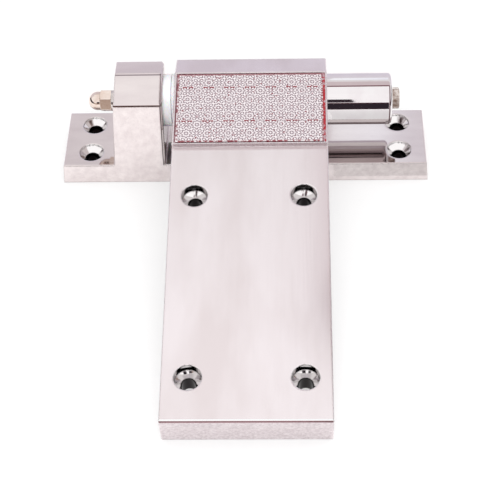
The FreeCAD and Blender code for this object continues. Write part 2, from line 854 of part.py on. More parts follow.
pieces = [
    make_frame_bracket(),
    make_lower_cam(),
    make_dowels("lower_cam_dowels", block_right),
    make_pivot_pin(),
    make_grub_screw(),
    ring("nut_washer", lock_seat, nut_face, s.stud_dia + s.fit_gap * 8, s.nut_washer_dia),
    make_lock_washer(),
    make_acorn_nut(),
    make_spring_barrel(),
    ring("barrel_seal_ring", seal_middle - s.seal_wire / 2, seal_middle + s.seal_wire / 2,
         seal_dia - s.seal_wire * 2, seal_dia),
    make_end_bolt(),
    ring("spring_end_washer", seat_start, pin_end, loose_bore, washer_dia),
    make_return_spring(),
    ring("thrust_washer", thrust_start, thrust_start + s.thrust_thick, loose_bore, washer_dia),
    make_door_leaf(),
    make_upper_cam(),
    make_dowels("upper_cam_dowels", cam_seat),
    ring("lower_bush", cam_seat, cam_seat + s.bush_length, bush_bore, s.bush_dia),
    make_upper_bush(),
    make_plate_bed(),
    make_pattern_plate(),
]
doc.recompute()

os.makedirs("parts", exist_ok=True)
for piece in pieces:
    for item in [piece] + piece.Group:
        if "Invalid" in item.State or "Error" in item.State:
            raise RuntimeError(item.Label + " did not build")
    if piece.Shape.isNull() or not piece.Shape.isValid():
        raise RuntimeError(piece.Label + " has no sound shape")
    piece.Shape.exportStep("parts/" + piece.Label + ".step")
    box = piece.Shape.BoundBox
    print(piece.Label, len(piece.Shape.Solids), "solid", round(piece.Shape.Volume / 1000, 2), "cm3",
          [round(v, 2) for v in (box.XMin, box.XMax, box.YMin, box.YMax, box.ZMin, box.ZMax)])
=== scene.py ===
import bpy
import json
import math
from mathutils import Euler, Matrix, Vector


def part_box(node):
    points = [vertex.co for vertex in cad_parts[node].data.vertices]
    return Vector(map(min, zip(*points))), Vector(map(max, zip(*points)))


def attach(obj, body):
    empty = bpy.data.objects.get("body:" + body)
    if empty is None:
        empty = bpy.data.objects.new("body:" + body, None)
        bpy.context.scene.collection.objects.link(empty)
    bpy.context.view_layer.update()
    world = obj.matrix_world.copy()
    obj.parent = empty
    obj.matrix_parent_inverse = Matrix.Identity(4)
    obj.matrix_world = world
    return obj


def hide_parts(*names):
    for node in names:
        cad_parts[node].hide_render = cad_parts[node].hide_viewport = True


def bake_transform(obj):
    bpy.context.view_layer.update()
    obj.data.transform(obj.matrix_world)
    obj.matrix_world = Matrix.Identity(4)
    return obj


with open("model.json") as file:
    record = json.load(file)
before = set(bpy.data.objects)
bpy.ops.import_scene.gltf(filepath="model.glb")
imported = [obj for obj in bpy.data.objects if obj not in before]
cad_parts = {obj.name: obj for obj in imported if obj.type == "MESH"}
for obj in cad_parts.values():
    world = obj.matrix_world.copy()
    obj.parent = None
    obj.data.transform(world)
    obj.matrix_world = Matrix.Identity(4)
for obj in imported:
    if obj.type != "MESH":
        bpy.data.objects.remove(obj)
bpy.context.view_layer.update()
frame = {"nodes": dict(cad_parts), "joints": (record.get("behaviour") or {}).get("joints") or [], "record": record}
nodes = frame["nodes"]
mounts = {mount["name"]: mount for mount in frame["record"]["mounts"]}
joints = {joint["name"]: joint for joint in frame["joints"]}
mm = 0.001
print("frame loaded:", len(nodes), "nodes")

# the leaf's own frame: origin on the pin axis, X along the pin, Y along the leaf, Z out of its face
pinPlace = Vector(joints["swing"]["pos_m"])
leafDown = mounts["leaf_face"]["axis"]
leafTilt = math.atan2(leafDown[1], -leafDown[2])
leafFrame = Matrix.Translation(pinPlace) @ Matrix.Rotation(leafTilt, 4, "X")
toLeaf = leafFrame.inverted()


def linear(hexColour):
    channels = []
    for i in (0, 2, 4):
        value = int(hexColour[i:i + 2], 16) / 255
        channels.append(value / 12.92 if value <= 0.04045 else ((value + 0.055) / 1.055) ** 2.4)
    return (*channels, 1.0)


def grey(value):
    return (value, value, value, 1.0)


def addNode(tree, kind, inputs=None, stops=None, **settings):
    # one node with its settings; an input is a value or a socket to link, and stops are a ramp's colours
    node = tree.nodes.new("ShaderNode" + kind)
    for key, value in settings.items():
        setattr(node, key, value)
    for key, value in (inputs or {}).items():
        if isinstance(value, bpy.types.NodeSocket):
            tree.links.new(value, node.inputs[key])
        else:
            node.inputs[key].default_value = value
    for i, (position, colour) in enumerate(stops or []):
        elements = node.color_ramp.elements
        element = elements[i] if i < len(elements) else elements.new(position)
        element.position = position
        element.color = colour
    return node


def startMaterial(name):
    material = bpy.data.materials.new(name)
    material.use_nodes = True
    tree = material.node_tree
    return material, tree, tree.nodes["Principled BSDF"]


def millimetres(tree, onLeaf):
    # Object coordinates in millimetres, in the bracket's frame or the leaf's
    coordinates = addNode(tree, "TexCoord")
    mapping = addNode(tree, "Mapping", {
        "Vector": coordinates.outputs["Object"], "Scale": (1 / mm, 1 / mm, 1 / mm)})
    if onLeaf:
        mapping.inputs["Location"].default_value = toLeaf.to_translation() / mm
        mapping.inputs["Rotation"].default_value = (-leafTilt, 0, 0)
    return mapping.outputs["Vector"]


def turnedTo(tree, side):
    # 1 on faces that are turned to a side, 0 on the others
    coordinates = addNode(tree, "TexCoord")
    parts = addNode(tree, "SeparateXYZ", {"Vector": coordinates.outputs["Normal"]})
    share = addNode(tree, "MapRange", {
        "Value": parts.outputs[side["part"]], "From Min": side["none"], "From Max": side["all"]})
    return share.outputs["Result"]


# the sides: a part of the face's normal, where it starts to count and where it counts in full
turnedUp = {"part": "Z", "none": 0.5, "all": 0.6}
turnedDown = {"part": "Z", "none": -0.7, "all": -0.8}
turnedForward = {"part": "Y", "none": -0.2, "all": -0.3}
barrelFront = {"part": "Y", "none": -0.3, "all": -0.42}
uprightFront = {"part": "Y", "none": -0.86, "all": -0.95}


def leafScrewRow(name):
    return (toLeaf @ Vector(mounts[name]["pos_m"])).y / mm


# where the four screw holes of leaf and bracket lie: their middle, and half their spacing
screwRows = [leafScrewRow("leaf_screws_near"), leafScrewRow("leaf_screws_far")]
leafScrews = mounts["leaf_screws_near"]["dims"]
leafBores = {
    "middle": (0, sum(screwRows) / 2, 0),
    "half": (leafScrews["pcd_mm"] / 2, abs(screwRows[1] - screwRows[0]) / 2, 0),
}
frameScrews = mounts["frame_screws"]["dims"]
bracketBores = {
    "middle": (0, 0, 0),
    "half": (frameScrews["spacing_x_mm"] / 2, frameScrews["spacing_y_mm"] / 2, 0),
}

# the screw holes: their seats are freshly cut and glossy, and drawn brightest as a painted highlight; the bores
# are painted dark as painted shade, since no light reaches down them
screwHoles = {
    "boreRadius": frameScrews["hole_r_mm"],
    "boreColour": "120c0d",
    "boreBlend": (0.25, 0.05),
    "seatRadius": 8.25,
    "seatColour": "fcf8f8",
    "seatRough": 0.05,
    "seatBlend": 0.3,
}

# the edges where a thin painted reflection line is drawn, in millimetres: the leaf's in its own frame, the others
# in the bracket's
blockFoot = 30 * mm
blockCorners = [vertex.co for vertex in nodes["frame_bracket"].data.vertices if vertex.co.z > blockFoot]
blockRight = max(corner.x for corner in blockCorners) / mm
blockCrease = 60.3
blockTop = 69.0
flangeTop = 15.5
barrelEnd = 98.1
knuckleFront = -52.6
leafEnd = min((toLeaf @ vertex.co).y for vertex in nodes["door_leaf"].data.vertices) / mm

# sizes are millimetres: of the cloudy patches, and of the polishing lines across and along their run
# the lines are drawn coarser than real ones, which would be too fine to show
metalLooks = {
    # cast stainless steel, buffed lengthways: a soft mirror with cloudy patches; its cast end is only sanded
    "buffedLeafSteel": {
        "colour": "f7eef0", "shade": "ece1e2", "clouds": (34, 110, 34), "onLeaf": True,
        "lines": (1.2, 60, 1.2), "lineDepth": 0.001, "rough": (0.15, 0.19), "round": 1.5,
        "sanded": ("cfc2c5", "f3e9eb"), "sandRough": 0.3, "grain": 1.6, "pitDepth": 0.05,
        "bores": leafBores,
        "edgeLines": [
            # painted reflections: a brown and a white line that the end's rounded edge mirrors, drawn because they
            # are so thin
            {"axis": "Y", "at": leafEnd + 0.45, "half": 0.45, "side": turnedUp, "tint": "7d3f4a"},
            {"axis": "Y", "at": leafEnd + 1.5, "half": 0.6, "side": turnedUp, "tint": "ffffff"},
            # the corner before the knuckle stays matt, because the wheel doesn't reach it, and is drawn lighter as
            # a painted highlight
            {"axis": "Y", "at": knuckleFront - 1.3, "half": 1.25, "side": turnedUp, "tint": "fff2f4",
             "rough": 0.6},
        ],
    },
    # cast stainless steel, mirror polished on top; its front is only sanded
    "polishedBracketSteel": {
        "colour": "f0e6e5", "shade": "e8dddd", "clouds": (40, 14, 14), "onLeaf": False,
        "lines": (30, 1.1, 1.1), "lineDepth": 0.0012, "rough": (0.03, 0.08), "round": 1.7,
        "sanded": ("e4d8d8", "f5ebea"), "sandRough": 0.17, "grain": 5.0, "pitDepth": 0.05,
        "bores": bracketBores,
        "edgeLines": [
            # painted reflection and shade: dark lines in the block's crease, its top edge and the edge beside the
            # cams
            {"axis": "Z", "at": blockCrease - 0.25, "half": 0.4, "side": turnedForward, "tint": "6a4f4c"},
            {"axis": "Z", "at": blockTop - 0.4, "half": 0.16, "side": turnedForward, "tint": "94868b"},
            {"axis": "X", "at": blockRight - 1.4, "half": 0.25, "side": turnedForward, "tint": "6a5c60",
             "above": flangeTop},
        ],
    },
    # chromed steel tube: a clear mirror with faint turning marks
    "chromedBarrelSteel": {
        "colour": "f8f3f4", "shade": "f3ecee", "clouds": (12, 12, 12), "onLeaf": False,
        "lines": (0.8, 30, 30), "lineDepth": 0.0005, "rough": (0.02, 0.045), "round": 0.4,
        "edgeLines": [
            # a painted dark reflection where the end starts to round
            {"axis": "X", "at": barrelEnd - 1.8, "half": 0.4, "side": barrelFront, "tint": "7d6468"},
        ],
    },
    # nickel plate over brass: a warm mirror
    "nickelPlatedNut": {
        "colour": "f5e6dd", "shade": "ead6ca", "clouds": (5, 5, 5), "onLeaf": False,
        "lines": (0.6, 8, 8), "lineDepth": 0.0006, "rough": (0.03, 0.07), "round": 0.4,
    },
    # bright steel bolt, brownish with dark brown clouds in its colour: a dull warm mirror
    "brownedBoltSteel": {
        "colour": "e2d6d0", "shade": "8a7266", "clouds": (3.6, 3.6, 3.6), "onLeaf": False,
        "lines": (0.6, 8, 8), "lineDepth": 0.002, "rough": (0.1, 0.2), "round": 0.5,
    },
    # turned steel with a bright zinc coat: a clouded mirror
    "zincCoatedSteel": {
        "colour": "e2dad8", "shade": "c8bebb", "clouds": (5, 5, 5), "onLeaf": False,
        "lines": (0.6, 8, 8), "lineDepth": 0.0015, "rough": (0.1, 0.2), "round": 0.4,
    },
    # oiled spring wire, drawn: dull grey with streaks along it
    "drawnSpringSteel": {
        "colour": "a8a8ac", "shade": "85858b", "clouds": (4, 4, 4), "onLeaf": False,
        "lines": (0.5, 5, 5), "lineDepth": 0.003, "rough": (0.25, 0.4), "round": 0.2,
    },
    # sintered bronze: matt gold brown with pores
    "sinteredBronze": {
        "colour": "c79a55", "shade": "a3783a", "clouds": (3, 3, 3), "onLeaf": False,
        "lines": (0.7, 0.7, 0.7), "lineDepth": 0.01, "rough": (0.3, 0.45), "round": 0.2,
    },
}


def sandAndDrill(tree, look, place, colour, roughness, normal):
    # distance from the nearest screw hole's axis
    offset = addNode(tree, "VectorMath", {0: place, 1: look["bores"]["middle"]}, operation="SUBTRACT")
    quarter = addNode(tree, "VectorMath", {0: offset.outputs["Vector"]}, operation="ABSOLUTE")
    across = addNode(tree, "VectorMath", {
        0: quarter.outputs["Vector"], 1: look["bores"]["half"]}, operation="SUBTRACT")
    flat = addNode(tree, "VectorMath", {0: across.outputs["Vector"], 1: (1, 1, 0)}, operation="MULTIPLY")
    distance = addNode(tree, "VectorMath", {0: flat.outputs["Vector"]}, operation="LENGTH")
    seatEdge = screwHoles["seatRadius"]
    outside = addNode(tree, "MapRange", {
        "Value": distance.outputs["Value"], "From Min": seatEdge,
        "From Max": seatEdge + screwHoles["seatBlend"]})

    # the sanded front: grain, drawn coarser than real grit so that it shows
    sanded = addNode(tree, "Math", {
        0: turnedTo(tree, uprightFront), 1: outside.outputs["Result"]}, operation="MULTIPLY")
    grain = addNode(tree, "TexNoise", {
        "Vector": place, "Scale": 1 / look["grain"], "Detail": 6.0, "Roughness": 0.6})
    dark, light = look["sanded"]
    sand = addNode(tree, "ValToRGB", {"Fac": grain.outputs["Fac"]},
                   [(0.3, linear(dark)), (0.7, linear(light))])
    mixed = addNode(tree, "Mix", {
        "Factor": sanded.outputs["Value"], 6: colour, 7: sand.outputs["Color"]}, data_type="RGBA")
    dull = addNode(tree, "Mix", {
        "Factor": sanded.outputs["Value"], 6: roughness, 7: grey(look["sandRough"])}, data_type="RGBA")
    pits = addNode(tree, "Bump", {
        "Height": grain.outputs["Fac"], "Distance": look["pitDepth"] * mm,
        "Strength": sanded.outputs["Value"], "Normal": normal})

    # the screw seats, drawn lighter as a painted highlight; the mounting face below them isn't cut
    uncut = addNode(tree, "Math", {
        0: outside.outputs["Result"], 1: turnedTo(tree, turnedDown)}, operation="MAXIMUM")
    gloss = addNode(tree, "Mix", {
        "Factor": uncut.outputs["Value"], 6: grey(screwHoles["seatRough"]), 7: dull.outputs[2]},
        data_type="RGBA")
    seat = addNode(tree, "Mix", {
        "Factor": uncut.outputs["Value"], 6: linear(screwHoles["seatColour"]), 7: mixed.outputs[2]},
        data_type="RGBA")

    # the bores, painted dark as painted shade
    wall = screwHoles["boreRadius"]
    blendStart, blendEnd = screwHoles["boreBlend"]
    inside = addNode(tree, "MapRange", {
        "Value": distance.outputs["Value"], "From Min": wall + blendStart, "From Max": wall + blendEnd})
    shadedBores = addNode(tree, "Mix", {
        "Factor": inside.outputs["Result"], 6: seat.outputs[2], 7: linear(screwHoles["boreColour"])},
        data_type="RGBA")
    return shadedBores.outputs[2], gloss.outputs[2], pits.outputs["Normal"]


def paintReflectionLine(tree, edge, place, colour, roughness):
    # a painted reflection: a band along one axis, on faces of one side
    parts = addNode(tree, "SeparateXYZ", {"Vector": place})
    band = addNode(tree, "Math", {
        0: parts.outputs[edge["axis"]], 1: edge["at"], 2: edge["half"]}, operation="COMPARE")
    line = addNode(tree, "Math", {
        0: band.outputs["Value"], 1: turnedTo(tree, edge["side"])}, operation="MULTIPLY")
    if "above" in edge:
        above = addNode(tree, "Math", {0: parts.outputs["Z"], 1: edge["above"]}, operation="GREATER_THAN")
        line = addNode(tree, "Math", {
            0: line.outputs["Value"], 1: above.outputs["Value"]}, operation="MULTIPLY")
    tinted = addNode(tree, "Mix", {
        "Factor": line.outputs["Value"], 6: colour, 7: linear(edge["tint"])}, data_type="RGBA")
    if "rough" in edge:
        matt = addNode(tree, "Mix", {
            "Factor": line.outputs["Value"], 6: roughness, 7: grey(edge["rough"])}, data_type="RGBA")
        roughness = matt.outputs[2]
    return tinted.outputs[2], roughness


def makeMetal(name, look):
    material, tree, shader = startMaterial(name)
    place = millimetres(tree, look["onLeaf"])

    # cloudy colour
    patches = addNode(tree, "VectorMath", {0: place, 1: look["clouds"]}, operation="DIVIDE")
    clouds = addNode(tree, "TexNoise", {"Vector": patches.outputs["Vector"], "Scale": 1.0, "Detail": 4.0})
    tint = addNode(tree, "ValToRGB", {"Fac": clouds.outputs["Fac"]},
                   [(0.36, linear(look["shade"])), (0.6, linear(look["colour"]))])
    colour = tint.outputs["Color"]

    # polishing lines, which also set how clear the mirror is
    runs = addNode(tree, "VectorMath", {0: place, 1: look["lines"]}, operation="DIVIDE")
    lines = addNode(tree, "TexNoise", {"Vector": runs.outputs["Vector"], "Scale": 1.0, "Detail": 3.0})
    low, high = look["rough"]
    gloss = addNode(tree, "ValToRGB", {"Fac": lines.outputs["Fac"]}, [(0.32, grey(low)), (0.68, grey(high))])
    roughness = gloss.outputs["Color"]

    # edges catch the light as slightly rounded ones do
    rounded = addNode(tree, "Bevel", {"Radius": look["round"] * mm}, samples=6)
    bump = addNode(tree, "Bump", {
        "Height": lines.outputs["Fac"], "Distance": look["lineDepth"] * mm,
        "Normal": rounded.outputs["Normal"]})
    normal = bump.outputs["Normal"]

    if "bores" in look:
        colour, roughness, normal = sandAndDrill(tree, look, place, colour, roughness, normal)
    for edge in look.get("edgeLines", []):
        colour, roughness = paintReflectionLine(tree, edge, place, colour, roughness)
    tree.links.new(colour, shader.inputs["Base Color"])
    tree.links.new(roughness, shader.inputs["Roughness"])
    tree.links.new(normal, shader.inputs["Normal"])
    shader.inputs["Metallic"].default_value = 1.0
    return material


# turned nylon: milky white, slightly translucent, with tool marks round it
# the marks are sizes in millimetres, coarser than real ones so that they show
nylonLook = {
    "colours": [(0.3, linear("f6f5f9")), (0.7, linear("fcfbfe"))],
    "cloudsPerMm": 0.15,
    "toolMarks": (0.5, 20, 20),
    "markDepth": 0.004 * mm,
    "rough": [(0.3, grey(0.36)), (0.7, grey(0.5))],
    "round": 0.5 * mm,
    "ior": 1.53,
    "translucence": 0.2,
    "lightDepth": 2 * mm,
}


def makeNylon(look):
    material, tree, shader = startMaterial("turnedNylon")
    place = millimetres(tree, True)
    clouds = addNode(tree, "TexNoise", {"Vector": place, "Scale": look["cloudsPerMm"], "Detail": 3.0})
    tint = addNode(tree, "ValToRGB", {"Fac": clouds.outputs["Fac"]}, look["colours"])
    tree.links.new(tint.outputs["Color"], shader.inputs["Base Color"])
    feed = addNode(tree, "VectorMath", {0: place, 1: look["toolMarks"]}, operation="DIVIDE")
    marks = addNode(tree, "TexNoise", {"Vector": feed.outputs["Vector"], "Scale": 1.0, "Detail": 2.0})
    gloss = addNode(tree, "ValToRGB", {"Fac": marks.outputs["Fac"]}, look["rough"])
    tree.links.new(gloss.outputs["Color"], shader.inputs["Roughness"])
    rounded = addNode(tree, "Bevel", {"Radius": look["round"]}, samples=6)
    bump = addNode(tree, "Bump", {
        "Height": marks.outputs["Fac"], "Distance": look["markDepth"], "Normal": rounded.outputs["Normal"]})
    tree.links.new(bump.outputs["Normal"], shader.inputs["Normal"])
    shader.inputs["IOR"].default_value = look["ior"]
    shader.inputs["Subsurface Weight"].default_value = look["translucence"]
    shader.inputs["Subsurface Scale"].default_value = look["lightDepth"]
    return material


# moulded nitrile rubber: matt black with a dusty bloom
rubberLook = {
    "colours": [(0.3, linear("161618")), (0.7, linear("29292c"))],
    "specksPerMm": 1.5,
    "speckDepth": 0.02 * mm,
    "rough": 0.7,
}


def makeRubber(look):
    material, tree, shader = startMaterial("nitrileRubber")
    specks = addNode(tree, "TexNoise", {
        "Vector": millimetres(tree, False), "Scale": look["specksPerMm"], "Detail": 3.0})
    tint = addNode(tree, "ValToRGB", {"Fac": specks.outputs["Fac"]}, look["colours"])
    tree.links.new(tint.outputs["Color"], shader.inputs["Base Color"])
    bump = addNode(tree, "Bump", {"Height": specks.outputs["Fac"], "Distance": look["speckDepth"]})
    tree.links.new(bump.outputs["Normal"], shader.inputs["Normal"])
    shader.inputs["Roughness"].default_value = look["rough"]
    return material


# the patterned plate's relief, in the leaf's frame; a motif is one of columns by rows
plateCorners = [toLeaf @ vertex.co for vertex in nodes["pattern_plate"].data.vertices]
plateLow = Vector([min(corner[axis] for corner in plateCorners) for axis in range(3)])
plateHigh = Vector([max(corner[axis] for corner in plateCorners) for axis in range(3)])
plateShape = {
    "columns": 7,
    "rows": 4,
    "steps": 22,
    "depth": 0.55 * mm,
    "ringSpacing": 2.0 * mm,
    "ringHeight": 0.38,
    "lobes": 8,
    "lobeDepth": 0.17,
    "lobeHeight": 0.12,
    "blend": 1.0 * mm,
    "rim": 0.7 * mm,
    "rimFoot": 0.55,
    "weld": 0.02 * mm,
    "smoothDegrees": 55,
}

# red acrylic film: clear red at the barrel's end, brown where the plate shades it at the cams' end
# the colours run over millimetres along the pin
filmLook = {
    "colours": [(0.0, linear("8d5660")), (0.12, linear("a8404d")), (1.0, linear("b81628"))],
    "colourRun": (-47, 40),
    "wornColour": linear("c3a2a9"),
    "wornFrom": 0.56,
    "wornTo": 0.68,
    "wearAtEnds": 0.22,
    "ripplesPerMm": 0.4,
    "rippleDepth": 0.02 * mm,
    "rough": [(0.3, grey(0.2)), (0.7, grey(0.4))],
    "ior": 1.49,
}


def makeBed(look):
    material, tree, shader = startMaterial("redAcrylicFilm")
    place = millimetres(tree, True)
    parts = addNode(tree, "SeparateXYZ", {"Vector": place})
    start, end = look["colourRun"]
    run = addNode(tree, "MapRange", {"Value": parts.outputs["X"], "From Min": start, "From Max": end})
    tint = addNode(tree, "ValToRGB", {"Fac": run.outputs["Result"]}, look["colours"])
    ripple = addNode(tree, "TexNoise", {"Vector": place, "Scale": look["ripplesPerMm"], "Detail": 3.0})

    # ragged wear, most of it at the two ends
    middle = (plateLow.y + plateHigh.y) / 2 / mm
    reach = (plateHigh.y - plateLow.y) / 2 / mm
    fromMiddle = addNode(tree, "Math", {0: parts.outputs["Y"], 1: middle}, operation="SUBTRACT")
    away = addNode(tree, "Math", {0: fromMiddle.outputs["Value"]}, operation="ABSOLUTE")
    ending = addNode(tree, "MapRange", {
        "Value": away.outputs["Value"], "From Min": reach / 2, "From Max": reach,
        "To Max": look["wearAtEnds"]})
    ragged = addNode(tree, "Math", {0: ripple.outputs["Fac"], 1: ending.outputs["Result"]}, operation="ADD")
    wear = addNode(tree, "MapRange", {
        "Value": ragged.outputs["Value"], "From Min": look["wornFrom"], "From Max": look["wornTo"]})
    worn = addNode(tree, "Mix", {
        "Factor": wear.outputs["Result"], 6: tint.outputs["Color"], 7: look["wornColour"]}, data_type="RGBA")
    tree.links.new(worn.outputs[2], shader.inputs["Base Color"])
    gloss = addNode(tree, "ValToRGB", {"Fac": ripple.outputs["Fac"]}, look["rough"])
    tree.links.new(gloss.outputs["Color"], shader.inputs["Roughness"])
    bump = addNode(tree, "Bump", {"Height": ripple.outputs["Fac"], "Distance": look["rippleDepth"]})
    tree.links.new(bump.outputs["Normal"], shader.inputs["Normal"])
    shader.inputs["IOR"].default_value = look["ior"]
    return material


# embossed metal foil: bright ridges, mauve hollows, and red showing in dashes
# a dash lies at a share of its column and row; widths and distances from an edge are millimetres
foilLook = {
    "colours": [(0.12, linear("54424c")), (0.36, linear("cfbec4")), (0.64, linear("f9f2f3"))],
    "red": linear("8f2236"),
    "redShare": 0.9,
    "dashColumn": 0.35,
    "dashHalfLength": 1.5,
    "dashRow": 1.2,
    "dashHalfWidth": 0.55,
    "flecksPerMm": 0.6,
    "fleckDepth": 0.05 * mm,
    "fleckFrom": 0.62,
    "fleckTo": 0.7,
    "rimFrom": 1.3,
    "rimTo": 0.5,
    "rimWearFrom": 0.42,
    "rimWearTo": 0.52,
    "backEdgeFrom": 2,
    "backEdgeTo": 1,
    "backEdgeWear": 0.25,
    "rough": [(0.3, grey(0.2)), (0.7, grey(0.34))],
    "metallic": 0.6,
}


def makePlateFoil(look, shape):
    material, tree, shader = startMaterial("embossedFoil")
    place = millimetres(tree, True)
    parts = addNode(tree, "SeparateXYZ", {"Vector": place})
    top = plateHigh.z / mm
    height = addNode(tree, "MapRange", {
        "Value": parts.outputs["Z"], "From Min": top - shape["depth"] / mm, "From Max": top})
    tint = addNode(tree, "ValToRGB", {"Fac": height.outputs["Result"]}, look["colours"])
    alongX = addNode(tree, "Math", {0: parts.outputs["X"], 1: plateLow.x / mm}, operation="SUBTRACT")
    alongY = addNode(tree, "Math", {0: parts.outputs["Y"], 1: plateLow.y / mm}, operation="SUBTRACT")
    width = (plateHigh.x - plateLow.x) / mm
    length = (plateHigh.y - plateLow.y) / mm
    column = width / shape["columns"]
    row = length / shape["rows"]

    # the dashes come in pairs, one pair to a column in every second row, with flecks between them
    foldX = addNode(tree, "Math", {0: alongX.outputs["Value"], 1: column / 2}, operation="PINGPONG")
    foldY = addNode(tree, "Math", {0: alongY.outputs["Value"], 1: row * 2}, operation="MODULO")
    dashX = addNode(tree, "Math", {
        0: foldX.outputs["Value"], 1: column * look["dashColumn"], 2: look["dashHalfLength"]},
        operation="COMPARE")
    dashY = addNode(tree, "Math", {
        0: foldY.outputs["Value"], 1: row * look["dashRow"], 2: look["dashHalfWidth"]}, operation="COMPARE")
    dash = addNode(tree, "Math", {0: dashX.outputs["Value"], 1: dashY.outputs["Value"]}, operation="MULTIPLY")
    scatter = addNode(tree, "TexNoise", {"Vector": place, "Scale": look["flecksPerMm"], "Detail": 2.0})
    flecks = addNode(tree, "MapRange", {
        "Value": scatter.outputs["Fac"], "From Min": look["fleckFrom"], "From Max": look["fleckTo"]})
    marked = addNode(tree, "Math", {
        0: dash.outputs["Value"], 1: flecks.outputs["Result"]}, operation="MAXIMUM")

    # along the rim the red comes through in patches, and all along the back edge
    backEdge = addNode(tree, "MapRange", {
        "Value": alongY.outputs["Value"], "From Min": length - look["backEdgeFrom"],
        "From Max": length - look["backEdgeTo"], "To Max": look["backEdgeWear"]})
    rimRed = addNode(tree, "Math", {
        0: scatter.outputs["Fac"], 1: backEdge.outputs["Result"]}, operation="ADD")
    endX = addNode(tree, "Math", {0: alongX.outputs["Value"], 1: width / 2}, operation="PINGPONG")
    endY = addNode(tree, "Math", {0: alongY.outputs["Value"], 1: length / 2}, operation="PINGPONG")
    inset = addNode(tree, "Math", {0: endX.outputs["Value"], 1: endY.outputs["Value"]}, operation="MINIMUM")
    rim = addNode(tree, "MapRange", {
        "Value": inset.outputs["Value"], "From Min": look["rimFrom"], "From Max": look["rimTo"]})
    worn = addNode(tree, "MapRange", {
        "Value": rimRed.outputs["Value"], "From Min": look["rimWearFrom"], "From Max": look["rimWearTo"]})
    rimPatch = addNode(tree, "Math", {
        0: rim.outputs["Result"], 1: worn.outputs["Result"]}, operation="MULTIPLY")

    both = addNode(tree, "Math", {
        0: marked.outputs["Value"], 1: rimPatch.outputs["Value"]}, operation="MAXIMUM")
    shown = addNode(tree, "Math", {0: both.outputs["Value"], 1: look["redShare"]}, operation="MULTIPLY")
    red = addNode(tree, "Mix", {
        "Factor": shown.outputs["Value"], 6: tint.outputs["Color"], 7: look["red"]}, data_type="RGBA")
    tree.links.new(red.outputs[2], shader.inputs["Base Color"])
    gloss = addNode(tree, "ValToRGB", {"Fac": scatter.outputs["Fac"]}, look["rough"])
    tree.links.new(gloss.outputs["Color"], shader.inputs["Roughness"])
    bump = addNode(tree, "Bump", {"Height": scatter.outputs["Fac"], "Distance": look["fleckDepth"]})
    tree.links.new(bump.outputs["Normal"], shader.inputs["Normal"])
    shader.inputs["Metallic"].default_value = look["metallic"]
    return material


materials = {name: makeMetal(name, look) for name, look in metalLooks.items()}
materials["turnedNylon"] = makeNylon(nylonLook)
materials["nitrileRubber"] = makeRubber(rubberLook)
materials["redAcrylicFilm"] = makeBed(filmLook)
materials["embossedFoil"] = makePlateFoil(foilLook, plateShape)

nodeMaterials = {
    "frame_bracket": "polishedBracketSteel",
    "door_leaf": "buffedLeafSteel",
    "spring_barrel": "chromedBarrelSteel",
    "acorn_nut": "nickelPlatedNut",
    "nut_washer": "zincCoatedSteel",
    "lock_washer": "zincCoatedSteel",
    "end_bolt": "brownedBoltSteel",
    "pivot_pin": "zincCoatedSteel",
    "pin_grub_screw": "zincCoatedSteel",
    "lower_cam_dowels": "zincCoatedSteel",
    "upper_cam_dowels": "zincCoatedSteel",
    "spring_end_washer": "zincCoatedSteel",
    "thrust_washer": "zincCoatedSteel",
    "return_spring": "drawnSpringSteel",
    "lower_bush": "sinteredBronze",
    "upper_bush": "sinteredBronze",
    "lower_cam": "turnedNylon",
    "upper_cam": "turnedNylon",
    "barrel_seal_ring": "nitrileRubber",
    "plate_bed": "redAcrylicFilm",
    "pattern_plate": "embossedFoil",
}
for node, name in nodeMaterials.items():
    slots = nodes[node].data.materials
    slots.clear()
    slots.append(materials[name])
print("materials set:", len(materials))


def ringsAt(across, along, shape):
    # height of scalloped rings round a point
    turn = math.atan2(along, across)
    scallop = 1 + shape["lobeDepth"] * math.cos(shape["lobes"] * turn)
    ring = math.cos(2 * math.pi * math.hypot(across, along) / (shape["ringSpacing"] * scallop))
    lobe = math.cos(2 * shape["lobes"] * turn)
    return 0.5 + shape["ringHeight"] * ring + shape["lobeHeight"] * lobe


def reliefAt(x, y, halfWidth, halfLength, shape):
    # height from 0 to 1: rings round the motif's middle, and round its corners where those are nearer
    fromMiddle = math.hypot(x, y)
    fromCorner = math.hypot(halfWidth - x, halfLength - y)
    share = min(1, max(0, 0.5 + (fromCorner - fromMiddle) / shape["blend"]))
    return share * ringsAt(x, y, shape) + (1 - share) * ringsAt(halfWidth - x, halfLength - y, shape)


